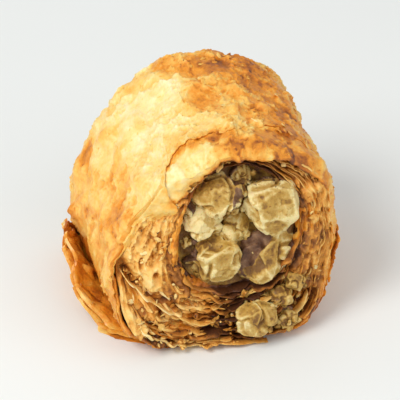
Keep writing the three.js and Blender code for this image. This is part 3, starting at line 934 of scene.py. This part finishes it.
def loose_end():
    """A lumpy mass of pastry stuck to the roll's side, and the torn sheets round it."""
    parts = []
    for ply, share in enumerate(LOOSE_SHEETS):
        turn, y, stand, crumple, curl = loose_sheet(share, ply)
        if not ply:
            stand = stand * (1 - curl**4) - 0.5 * curl**4
            stand = stand + 0.5 * rough(crumple, 2.0, 408) * np.sin(math.pi * curl)
        thick = 0.36 if ply else np.maximum(0.36, stand + 0.8)
        above_floor = 0.12 * (len(LOOSE_SHEETS) - 1 - ply)
        sides = []
        for sunk, lift in ((0, 0), (thick, 0.06)):
            x, z = section(turn, 1.0, skin_reach(turn, y) + stand - sunk)
            sides.append(xyz(x, y, soft_floor(z) + above_floor + lift))
        tone = (0.74 if ply else 0.82) + noises(crumple, 406, (0.18, 2.6), (0.1, 1.2))
        parts.append(thin_solid(*sides, tone - 0.1 * share - 0.1 * curl**6))
    return parts


# ---- Small flakes of pastry ----


def unit(vector):
    return vector / np.linalg.norm(vector)


def heading(turn):
    return np.array([math.cos(turn), 0, math.sin(turn)])


def flake(rng, centre, normal, size, tone):
    """A thin bent scrap with a ragged outline, lying across the normal."""
    spokes = 10
    angle = np.arange(spokes) / spokes * TAU
    ragged = 1 + 0.3 * rng.uniform(-1, 1, spokes) + 0.2 * np.cos(2 * angle + rng.uniform(0, TAU))
    share = np.array([[0.0, 0.55, 1.0]])
    u = size / 2 * share * (ragged * np.cos(angle))[:, None]
    v = size / 2 * share * (ragged * np.sin(angle))[:, None] * rng.uniform(0.45, 0.9)
    bend = rng.uniform(-0.35, 0.35, 3) / size
    w = bend[0] * u**2 + bend[1] * u * v + bend[2] * v**2 - (u**2 + v**2) / 30
    side = unit(np.cross(normal, unit(rng.normal(size=3))))
    other = np.cross(normal, side)
    sheets = []
    for half in (0.08, -0.08):
        lift = w + half * (1.15 - share)
        sheets.append(centre + u[..., None] * side + v[..., None] * other + lift[..., None] * normal)
    loop = np.concatenate([sheets[0], sheets[1][:, ::-1]], 1)
    loop[..., 2] = np.maximum(loop[..., 2], 0.05)
    faces = grid_faces(spokes, loop.shape[1], wrap_rows=True)
    tones = tone + 0.1 * rng.uniform(-1, 1) + 0.04 * rng.normal(size=loop.shape[:2])
    return loop.reshape(-1, 3), faces, {"tone": tones.ravel()}


def front_place(turn, out, sunk, grooves, lift, lowest=0.4):
    """A place that far behind the front face, whose outside is sunk by so much there."""
    x, z = section(turn, out, float(outer_reach(turn)) - sunk)
    return np.array([float(x), float(face_y(turn, out, 1, grooves)) + lift, max(float(z), lowest)])


def face_flakes(rng, count):
    """Broken bits of sheet on the front face, most of them on its left and lower sides."""
    parts = []
    while len(parts) < count:
        turn = rng.uniform(0, TAU)
        if rng.uniform() > 0.2 + lobes(turn, (0.8, 205, 60), (0.4, 290, 40), (-0.2, 85, 50)):
            continue
        crusted = float(between(turn, 130, 150, 212, 236))
        if rng.uniform() < 0.7 * crusted:
            continue
        out = rng.uniform(0.12, 1.0)
        lift = rng.uniform(0.1, 0.9) * (1 - 0.7 * crusted) - 0.1 * crusted
        centre = front_place(turn, out, TORN_SHEET + EDGE_ROUNDING * out**2, 1 - 0.55 * crusted, lift, 0.3)
        tilt = rng.uniform(0, 1) * (1 - 0.8 * crusted)
        across = heading(turn) * tilt + np.array([0, -1, 0]) * (1 - tilt)
        normal = unit(across + 0.3 * rng.normal(size=3) + 0.2 * heading(turn + math.pi / 2))
        tone = rng.uniform(0.25, 0.45) + float(lobes(turn, (0.34, 285, 50), (0.12, 0, 50)))
        parts.append(flake(rng, centre, normal, rng.uniform(0.5, 1.7 - 0.5 * crusted), tone))
    return parts


def skin_flakes(rng, count):
    """Scraps that lift off the outermost sheet, most of them on the top and the right shoulder."""
    parts = []
    while len(parts) < count:
        turn = rng.uniform(-0.6, 1.5)
        if rng.uniform() > 0.15 + lobe(turn, 62, 40):
            continue
        y = rng.uniform(float(torn_edge(turn)) - 1.5, HALF - 2.5)
        detail, tone = skin_detail(np.array([turn]), np.array([[y]]))
        reach = float(skin_reach(turn, y)) + detail.item() - (0.36 if y < torn_edge(turn) else 0.04)
        centre = heading(turn) * reach + (0, y, AXIS_HEIGHT)
        normal = unit(heading(turn) + 0.12 * rng.normal(size=3))
        shade = min(0.5, tone.item() + rng.uniform(-0.12, 0.02))
        parts.append(flake(rng, centre, normal, rng.uniform(0.4, 1.3), shade))
    return parts


# ---- Walnuts ----

NUT_SHARPNESS = 120
NUT_CORNERS = 18
BREAKS = 4
BREAK_DEPTHS = (0.5, 0.78)  # how far out the breaks are, as shares of half the nut's size
CHIPS = 10
CHIP_DEPTHS = (0.01, 0.06)  # as shares of how far out the surface is
NUT_START = np.array([NUT_AXIS[0], -HALF, NUT_AXIS[1]])

# Walnuts at the front: place from where the filling's axis starts, size, seed, squash, lean, which way a
# break and the skin face, and how much browner.
LARGE_NUTS = (
    ((4.8, 2.6, 2.8), 11.4, 3, (0.95, 0.85, 1), 30, (0.1, -1, 0.35), (0.3, 0.8, 0.6), -0.1),
    ((-1.4, 3, 4.8), 9.6, 11, (1, 0.9, 0.8), -15, (-0.3, -1, 0.5), (0.9, -0.2, 0.4), 0.16),
    ((-3.8, 1.2, -3.8), 10.8, 5, (0.85, 0.85, 1), 20, (0, -1, 0.1), (-0.9, 0.1, 0.3), 0.22),
    ((4.4, 1.8, -4.6), 10.6, 8, (1, 0.8, 0.8), -25, (0.3, -1, 0.3), (-0.7, -0.3, 0.7), 0.34),
)

# Smaller ones: place, size, seed, lean and how much browner.
SMALL_NUTS = (
    ((-4.8, 2.2, 1.2), 7.6, 21, 10, 0),
    ((0.4, 2.8, -0.6), 6.4, 27, 55, 0.3),
    ((-6.4, 3.4, 3.4), 4.8, 13, 70, 0),
    ((7.2, 3.4, -1.4), 5, 17, -40, 0),
    ((1.6, 4, 6.8), 4.6, 19, 5, 0),
    ((0.4, 2.6, -7), 4.8, 23, 30, 0),
)

# Those that have dropped to the foot: place, size, seed, squash, lean and which way a break faces.
FALLEN_NUTS = (
    ((4.2, -HALF - 2.9, 4.6), 7.4, 31, (1, 0.7, 0.9), 12, (-0.3, -1, 0.7)),
    ((7.4, -HALF - 2.0, 6.8), 4.6, 33, (1, 0.8, 0.75), -20, None),
    ((10.2, -HALF - 0.9, 8.6), 4.0, 35, (1, 0.8, 0.7), 30, None),
    ((8.6, -HALF - 2.2, 3.0), 4.2, 37, (1, 0.8, 0.8), 5, None),
)
BACK_NUTS = 11
BACK_NUT_SIZES = (4.8, 8.0)
CORE_SLANT = 0.26  # how much further back the filling's front is, per mm of height


def seeded(seed):
    """The same repeatable random numbers as the solids are made with."""
    state = seed

    def draw():
        nonlocal state
        state = (state * 1664525 + 1013904223) % 2**32
        return state / 2**32

    return draw


def turned(*angles):
    """A rotation by angles about X, Y and Z."""
    rotation = np.eye(3)
    for axis, angle in enumerate(angles):
        i, j = (axis + 1) % 3, (axis + 2) % 3
        step = np.eye(3)
        step[i, i] = step[j, j] = math.cos(angle)
        step[j, i] = math.sin(angle)
        step[i, j] = -step[j, i]
        rotation = rotation @ step
    return rotation


def hull_planes(points):
    """Outward normals and distances of the faces of the points' hull, each plane once."""
    bm = bmesh.new()
    for point in points:
        bm.verts.new(point)
    bmesh.ops.convex_hull(bm, input=bm.verts)
    planes = []
    for face in bm.faces:
        a, b, c = (np.array(vert.co) for vert in face.verts[:3])
        normal = np.cross(b - a, c - a)
        if np.linalg.norm(normal) < 1e-9:
            continue
        normal = unit(normal)
        reach = float(normal @ a)
        normal, reach = (normal, reach) if reach > 0 else (-normal, -reach)
        if all(normal @ other < 0.995 for other, _ in planes):
            planes.append((normal, reach))
    bm.free()
    return planes


def ball(subdivisions):
    """Directions and triangles of a finely divided ball."""
    bm = bmesh.new()
    bmesh.ops.create_icosphere(bm, subdivisions=subdivisions, radius=1.0)
    directions = np.array([vert.co for vert in bm.verts])
    faces = np.array([[vert.index for vert in face.verts] for face in bm.faces])
    bm.free()
    return directions, faces


def on_ball(height, turn):
    ring = math.sqrt(1 - height * height)
    return np.array([ring * math.cos(turn), ring * math.sin(turn), height])


def chipped(directions, reach, seed):
    """The nut's surface cut back by flat chips between its corners, and how much paler each chip is."""
    rng = np.random.default_rng(seed)
    paler = np.zeros_like(reach)
    for _ in range(CHIPS):
        nearest = min(rng.integers(len(directions), size=8), key=lambda place: reach[place])
        normal = unit(directions[nearest] + 0.13 * rng.normal(size=3))
        limit = reach[nearest] * (directions[nearest] @ normal) * (1 - rng.uniform(*CHIP_DEPTHS))
        cut = limit / np.maximum(directions @ normal, 0.05)
        paler = np.where(cut < reach, rng.uniform(-0.14, 0.2), paler)
        reach = np.minimum(reach, cut)
    return reach, paler


def standing_out(points, faces, directions, rounds):
    """How far each point stands out from its surroundings: over 0 on an edge and under 0 in a hollow."""
    here, beside = faces.ravel(), np.roll(faces, 1, axis=1).ravel()
    neighbours = np.bincount(here)
    level = points
    for _ in range(rounds):
        level = np.stack([np.bincount(here, level[beside, axis]) / neighbours for axis in range(3)], 1)
    return ((points - level) * directions).sum(1)


def nut_planes(size, seed, squash, lean, shows):
    """The flat sides of a broken piece of walnut, and which way its breaks face."""
    random = seeded(seed)
    points = []
    for i in range(NUT_CORNERS):
        corner = on_ball(1 - 2 * (i + 0.5) / NUT_CORNERS, TAU * (i * 0.618 + 0.1 * random()))
        points.append(corner * (size / 2 * (0.86 + 0.28 * random())) * squash)
    rotation = turned(random(), math.radians(lean), random())
    points = [rotation @ point for point in points]
    breaks = [on_ball(2 * random() - 1, TAU * random()) for _ in range(BREAKS)]
    if shows is not None:
        breaks[0] = unit(np.array(shows))
    for towards in breaks:
        limit = size / 2 * (BREAK_DEPTHS[0] + (BREAK_DEPTHS[1] - BREAK_DEPTHS[0]) * random())
        points = [point - max(0, point @ towards - limit) * towards for point in points]
    return hull_planes(points), breaks


def nut_piece(
    at, size, seed, squash=(1, 0.8, 0.7), lean=0, shows=None, skinned=None, browner=0, fineness=5
):
    """A broken piece of walnut, finer than its solid: its breaks are flat and its own outside is lumpy."""
    planes, breaks = nut_planes(size, seed, squash, lean, shows)
    directions, faces = ball(fineness)
    closeness = np.stack([np.maximum(0, directions @ normal / reach) for normal, reach in planes], 1)
    pull = closeness**NUT_SHARPNESS
    broken = np.array([max(normal @ towards for towards in breaks) > 0.985 for normal, _ in planes])
    flat = (pull * broken).sum(1) / pull.sum(1)
    soft_reach = (pull**0.55).sum(1) ** (-1 / NUT_SHARPNESS / 0.55)
    reach = soft_reach * (1 - flat) + pull.sum(1) ** (-1 / NUT_SHARPNESS) * flat
    reach, paler = chipped(directions, reach, seed)
    where = directions * reach[:, None] + seed
    dents = smoothstep(noise(where, 0.42 * size, seed + 9), 0.0, 0.6)
    folds = smoothstep(1 - np.abs(noise(where, 0.26 * size, seed)) * 2, 0.3, 1.0)
    conchoid = 0.1 * np.sin(7 * noise(where + 2 * seed, 0.6 * size, seed + 2))
    pits = smoothstep(noise(where, 0.9, seed + 3), 0.45, 0.75)
    uneven = 0.12 * rough(where, 1.3, seed + 1) + 0.07 * rough(where, 0.5, seed + 7, 2)
    height = size * (0.035 * noise(where, 0.42 * size, seed + 6) - 0.06 * folds) * (1.2 - flat)
    height = height + (flat * (conchoid - 0.14 * pits) + uneven) * min(1, size / 5)
    height = height + size * (0.02 - 0.1 * dents * (1 - 0.5 * flat))
    surface = directions * (reach + height)[:, None]
    rng = np.random.default_rng(seed)
    outside = unit(rng.normal(size=3) if skinned is None else np.array(skinned, float))
    facing = np.array([normal @ outside for normal, _ in planes])
    skin = (pull * smoothstep(facing, 0.4, 0.7)).sum(1) / pull.sum(1) * (1 - 0.8 * flat)
    skin = skin - 0.4 * smoothstep(noise(surface + seed, 2.2, seed + 4), 0.1, 0.6)
    soft = closeness**14
    middle = smoothstep(soft.max(1) / soft.sum(1), 0.3, 0.85)
    tone = 0.11 + browner + 0.4 * middle * flat + 0.1 * (1 - flat) + 0.2 * pits + 0.3 * dents - paler
    tone = tone + 0.24 * noise(surface, 0.4 * size, seed + 5)
    edges = standing_out(surface, faces, directions, 2 ** (fineness - 2)) / size
    # Paler on edges and darker in hollows: the kernel's own pale rims, with painted highlight on the edges
    # and painted shade in the hollows.
    wear_and_edge_shade = 0.06 - 0.34 * smoothstep(edges, 0.004, 0.012) + 0.2 * smoothstep(-edges, 0.0, 0.008)
    # Painted shade under the upper lip, with some syrup: the walnuts near the rim above darken and take on
    # skin colour.
    above_axis = surface[:, 2] + at[2] - NUT_AXIS[1]
    lip_shade_and_syrup = smoothstep(above_axis + 0.6 * noise(surface, 1.2, seed + 8), 4.4, 7.4)
    marks = {"skin": skin + 0.3 * lip_shade_and_syrup, "tone": tone + wear_and_edge_shade * min(1, size / 4) + 0.36 * lip_shade_and_syrup}
    return surface + at, faces, marks


def in_filling(turn, reach, y):
    return np.array([NUT_AXIS[0] + reach * math.cos(turn), y, NUT_AXIS[1] + reach * math.sin(turn)])


def large_walnuts():
    """The broken walnuts that show at both cut faces."""
    parts = [nut_piece(NUT_START + at, *rest, fineness=6) for at, *rest in LARGE_NUTS]
    for at, size, seed, lean, browner in SMALL_NUTS:
        parts.append(nut_piece(NUT_START + at, size, seed, lean=lean, browner=browner))
    random = seeded(42)
    for i in range(BACK_NUTS):
        ring = NUT_RADIUS * 0.78 * math.sqrt((i + 0.3) / BACK_NUTS)
        at = in_filling(TAU * 0.618 * i, ring, HALF - 1.4 - random())
        size = BACK_NUT_SIZES[0] + (BACK_NUT_SIZES[1] - BACK_NUT_SIZES[0]) * random()
        parts.append(nut_piece(at, size, 100 + i, lean=180 * random(), fineness=5 if size > 6 else 4))
    return parts


def fallen_nuts():
    """Those that stick to the foot, the one with a chosen break finer than the others."""
    return [
        nut_piece(*nut, skinned=(0.3, 1, -0.3), browner=0.5, fineness=6 if nut[-1] else 5)
        for nut in FALLEN_NUTS
    ]


def filling_core():
    """What lies behind the broken walnuts: ground nut and syrup, closed at both ends."""
    spokes, end_rings, middle_rings = 120, 26, 20
    turn = (np.arange(spokes) / spokes * TAU)[:, None]
    ends = np.linspace(0.02, 1, end_rings)
    shares = np.concatenate([ends, np.ones(middle_rings), np.linspace(1, 0.02, end_rings)])[None, :]
    start, end = -HALF + 2.4, HALF - 1.6
    middle = np.linspace(start, end, middle_rings)
    y = np.concatenate([np.full(end_rings, start), middle, np.full(end_rings, end)])[None, :]
    reach = (nut_reach(turn) + 0.1) * shares
    points = xyz(NUT_AXIS[0] + reach * np.cos(turn), y, NUT_AXIS[1] + reach * np.sin(turn))
    bumps = noises(points, 501, (0.8, 2.6), (0.35, 0.9))
    slant = CORE_SLANT * (points[..., 2] - NUT_AXIS[1]) * (y < 0)
    points[..., 1] += bumps * np.where(y < 0, 1, -1) * (shares < 1) + slant
    # Dark: ground nut and syrup, and painted shade for the gaps between the walnuts where the core shows.
    tone = 0.9 + 0.2 * noise(points, 1.2, 503)
    skin = 0.5 * smoothstep(noise(points, 1.6, 504), 0.2, 0.6)
    across = points.shape[1]
    faces, middles = [grid_faces(spokes, across, wrap_rows=True)], []
    for end, column in enumerate((0, across - 1)):
        every_other = np.arange(0, spokes, 2)
        ring = [(every_other + step) % spokes * across + column for step in (0, 1, 2)]
        faces.append(np.stack([np.full_like(every_other, spokes * across + end)] + ring, -1))
        middles.append(points[:, column].mean(0))
    marks = {"tone": np.append(tone.ravel(), (0.85, 0.85)), "skin": np.append(skin.ravel(), (0.5, 0.5))}
    return np.concatenate([points.reshape(-1, 3), middles]), np.concatenate(faces), marks


# ---- Crumbs ----


def bits(rng, spots, sizes, browner=(0, 0.5), skinned=0.0, fineness=3):
    """Small broken crumbs at the spots."""
    parts = []
    for spot, size in zip(spots, sizes):
        seed, squash = int(rng.integers(1, 10000)), rng.uniform(0.45, 1.0, 3)
        lean, change = rng.uniform(0, 180), rng.uniform(*browner)
        points, faces, marks = nut_piece(spot, size, seed, squash, lean, browner=change, fineness=fineness)
        points[:, 2] = np.maximum(points[:, 2], 0.05)
        marks["skin"] = np.full(len(points), float(rng.uniform() < skinned))
        parts.append((points, faces, marks))
    return parts


def filling_crumbs(rng, count):
    spots = []
    for i in range(count):
        turn, ring = rng.uniform(0, TAU), rng.uniform(0, 1) ** 0.35
        reach = float(nut_reach(turn)) * 0.97 * ring
        front = -HALF + 1.4 + CORE_SLANT * reach * math.sin(turn)
        y = front + rng.uniform(0, 1.6) if i % 2 else HALF - rng.uniform(0.6, 2.0)
        spots.append(in_filling(turn, reach, y))
    return bits(rng, spots, 0.6 + 1.8 * rng.uniform(0, 1, count) ** 2, skinned=0.25)


def broken_bits(rng, count, hand):
    """Broken walnut between the larger pieces at one end."""
    spots, sizes = [], rng.uniform(2.2, 4.2, count)
    for i, size in enumerate(sizes):
        turn, ring = TAU * (0.618 * i + rng.uniform(0, 0.1)), math.sqrt((i + 0.5) / count)
        reach = (float(nut_reach(turn)) - size / 2) * ring
        if hand > 0:
            y = -HALF + 0.6 + 0.4 * size + CORE_SLANT * reach * math.sin(turn) + rng.uniform(0, 0.8)
        else:
            y = HALF - 1.0 - 0.35 * size - rng.uniform(0, 0.6)
        spots.append(in_filling(turn, reach, y))
    return bits(rng, spots, sizes, browner=(0.1, 0.5), skinned=0.2, fineness=4)


def pastry_crumbs(rng, count):
    """Crumbs of the sheets, stuck to the crust at the left of the front face."""
    spots = []
    for _ in range(count):
        turn = math.radians(rng.normal(185, 26) if rng.uniform() < 0.7 else rng.normal(258, 12))
        out = rng.uniform(0.1, 1.0)
        spots.append(front_place(turn, out, 1.2 * out, 0.45, rng.uniform(-0.1, 0.4)))
    return bits(rng, spots, rng.uniform(0.4, 1.2, count), browner=(0.2, 0.5))


def foot_crumbs(rng, count):
    spots = []
    for _ in range(count):
        turn, out = math.radians(rng.normal(303, 12)), rng.uniform(0.15, 0.95)
        spots.append(front_place(turn, out, 1.2, 1, rng.uniform(-0.2, 0.7)))
    return bits(rng, spots, rng.uniform(0.5, 1.8, count), browner=(0.1, 0.6), skinned=0.12)


def crumbs_on_nuts(rng, count):
    """Small crumbs round the broken walnuts that have fallen."""
    spots = []
    for i in range(count):
        at, size = FALLEN_NUTS[i % len(FALLEN_NUTS)][:2]
        towards = unit(rng.normal(size=3)) * (1, 0.7, 0.85) * rng.uniform(0.32, 0.46) * size
        spots.append(np.maximum((-99, -99, 0.4), at + towards))
    return bits(rng, spots, rng.uniform(0.7, 2.2, count), browner=(0.2, 0.6), skinned=0.1)


# ---- Putting the piece together ----

skin_finish = pastry_material("baked_skin", coat=0.22, roughness=0.45, glow=0.15, colours=BAKED)
layer_finish = pastry_material("baked_layers", coat=0.1, roughness=0.55, glow=0.12, colours=BAKED_EDGES)
caramel_finish = pastry_material("caramel_pastry", coat=0.5, roughness=0.36, glow=0.15, colours=BAKED)
nut_finish = walnut_material()

PASTRY = ("pastry", "pastry_roll")
FILLING = ("walnut", "walnut_filling")

rng = np.random.default_rng(2024)

piece("outer_sheet", [roll_body()], skin_finish, *PASTRY)
piece("second_sheet", [second_sheet()], skin_finish, *PASTRY)
piece("baked_crust", [baked_crust(*crust) for crust in CRUSTS], layer_finish, *PASTRY, crisp=80)
piece("front_sheets", wound_sheets(1), layer_finish, *PASTRY)
piece("back_sheets", wound_sheets(-1), layer_finish, *PASTRY)
piece("strands", strands(), layer_finish, *PASTRY)
piece("loose_end", loose_end(), caramel_finish, *PASTRY)
piece("face_flakes", face_flakes(rng, count=300), layer_finish, *PASTRY, crisp=80)
piece("skin_flakes", skin_flakes(rng, count=70), skin_finish, *PASTRY, crisp=80)
piece("pastry_crumbs", pastry_crumbs(rng, count=70), layer_finish, *PASTRY, crisp=80)
piece("broken_walnuts", large_walnuts(), nut_finish, *FILLING, crisp=70)
piece("filling_core", [filling_core()], nut_finish, *FILLING, crisp=80)
crumbs = filling_crumbs(rng, count=90)
crumbs += broken_bits(rng, count=26, hand=1) + broken_bits(rng, count=14, hand=-1)
piece("filling_crumbs", crumbs, nut_finish, *FILLING, crisp=80)
crumbs = fallen_nuts() + foot_crumbs(rng, count=40) + crumbs_on_nuts(rng, count=28)
piece("fallen_crumbs", crumbs, nut_finish, "walnut", "pastry_roll", crisp=70)

# ---- The setting ----

VIEW_AZIMUTH = -15.5
VIEW_ELEVATION = 35.0
VIEW_DISTANCE = 0.75
PIXELS_PER_MM = 2.28  # of the photograph, at the roll's middle
FRAMED_PIXELS = 130.0  # of the photograph, that the picture's width takes in
AIM_ASIDE = 0.44
AIM_ABOVE = 11.4


def camera():
    a, e = math.radians(VIEW_AZIMUTH), math.radians(VIEW_ELEVATION)
    back = Vector((math.sin(a) * math.cos(e), -math.cos(a) * math.cos(e), math.sin(e)))
    right = Vector((math.cos(a), math.sin(a), 0))
    target = Vector(MIDDLE * MM) + right * AIM_ASIDE * MM + back.cross(right) * AIM_ABOVE * MM
    data = bpy.data.cameras.new("camera")
    data.sensor_width = 36
    data.lens = data.sensor_width * PIXELS_PER_MM / MM * VIEW_DISTANCE / FRAMED_PIXELS
    data.clip_start = 0.05
    made = link_new("camera", data)
    made.location = target + back * VIEW_DISTANCE
    made.rotation_euler = back.to_track_quat("Z", "Y").to_euler()
    bpy.context.scene.camera = made


def area_light(name, at, size, power, colour=(1, 1, 1)):
    data = bpy.data.lights.new(name, "AREA")
    data.shape = "DISK"
    data.size = size
    data.energy = power
    data.color = colour
    made = link_new(name, data)
    made.location = at
    made.rotation_euler = (Vector(at) - Vector((0, 0, 0.012))).to_track_quat("Z", "Y").to_euler()


def floor():
    mesh = bpy.data.meshes.new("floor")
    side = 1.5
    corners = [(-side, -side, 0), (side, -side, 0), (side, side, 0), (-side, side, 0)]
    mesh.from_pydata(corners, [], [(0, 1, 2, 3)])
    n = Nodes("white_table")
    tint = n.ramp(n.noise(60, detail=2), ((0.0, (234, 237, 235)), (1.0, (240, 243, 242))))
    mesh.materials.append(n.finish(tint, roughness=0.6))
    link_new("floor", mesh)


floor()
camera()
area_light("key", (-0.28, -0.15, 0.38), size=0.26, power=1.38, colour=(1.0, 0.99, 0.97))
area_light("fill", (0.35, -0.35, 0.30), size=0.5, power=0.5)
world = bpy.data.worlds.new("world")
bpy.context.scene.world = world
world.use_nodes = True
background = world.node_tree.nodes["Background"].inputs
background["Color"].default_value = (1, 1, 1, 1)
background["Strength"].default_value = 0.6
bpy.context.scene.view_settings.view_transform = "Standard"
